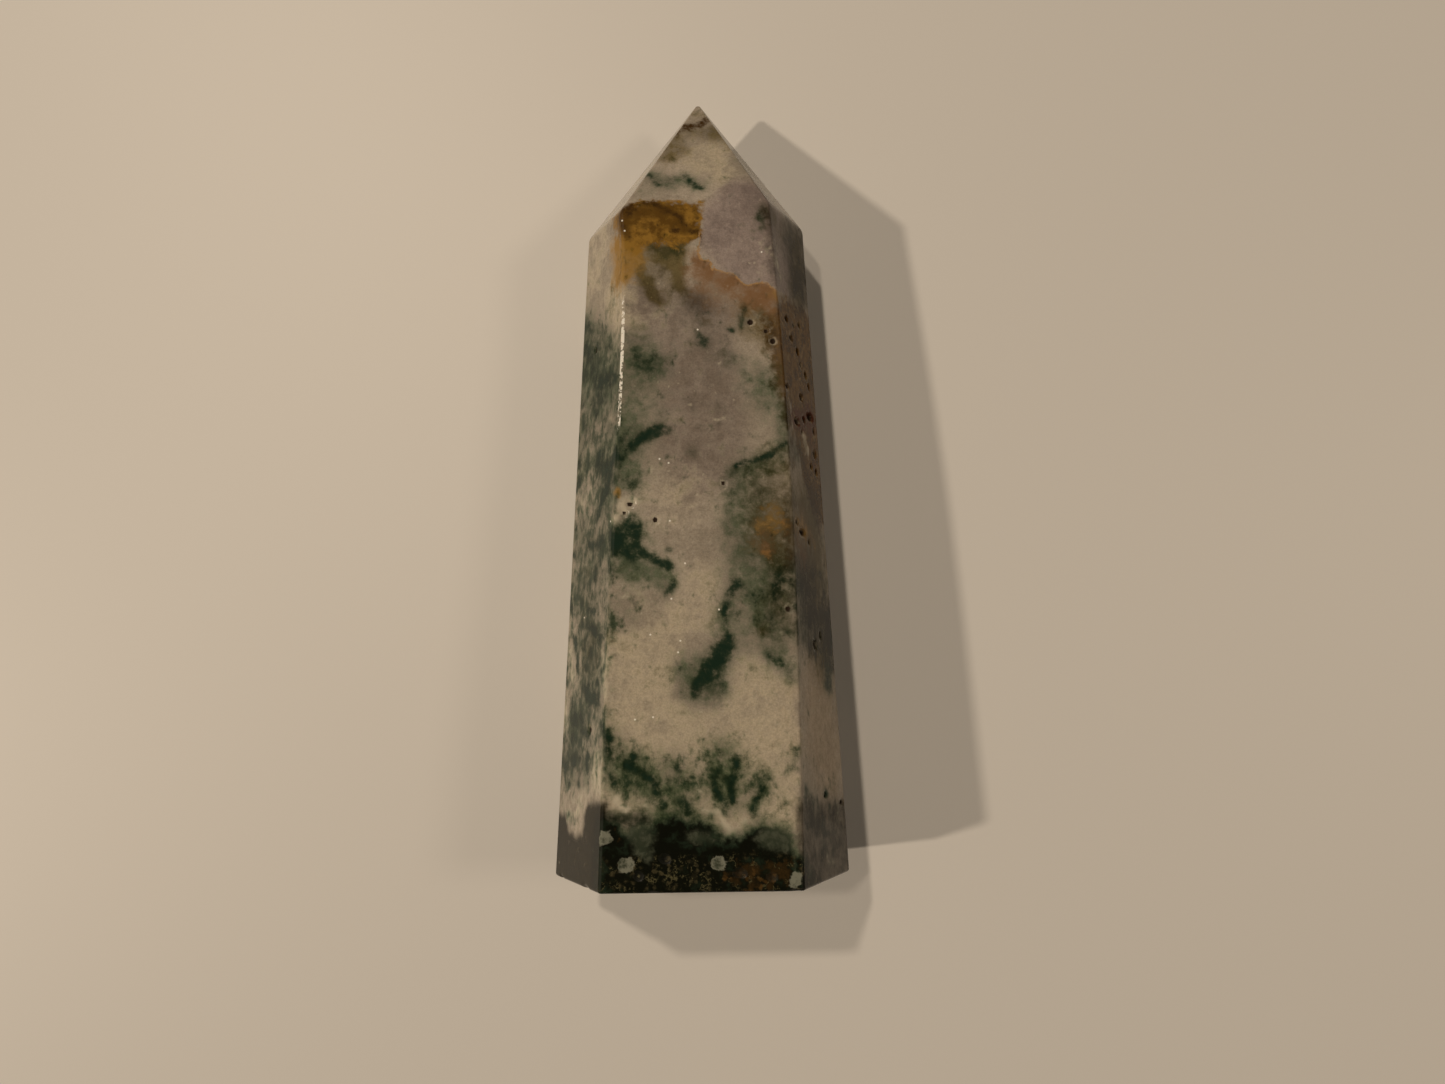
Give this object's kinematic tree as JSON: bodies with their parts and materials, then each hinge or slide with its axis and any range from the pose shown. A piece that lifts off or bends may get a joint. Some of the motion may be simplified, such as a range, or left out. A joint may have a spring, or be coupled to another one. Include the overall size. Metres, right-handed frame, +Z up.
{
  "type": "moss agate tower",
  "caption": "Polished mineral tower lying on one broad facet: a tapering six-sided prism with a six-sided point and a flat sawn base.",
  "frame": {"origin": "middle of the bounding box's bottom face, on the surface that the tower lies on", "axes": "+Z up, away from the surface; +Y along the tower from its sawn base to its point; +X across it, to the right when it is seen from above with its point away from the viewer"},
  "size_m": [0.0432, 0.12, 0.0273],
  "materials": {
    "moss_agate": "polished, cloudy grey to cream with green moss, an orange iron stain and a near-black green base"
  },
  "bodies": {
    "root": {"tower": "moss_agate"}
  },
  "joints": []
}
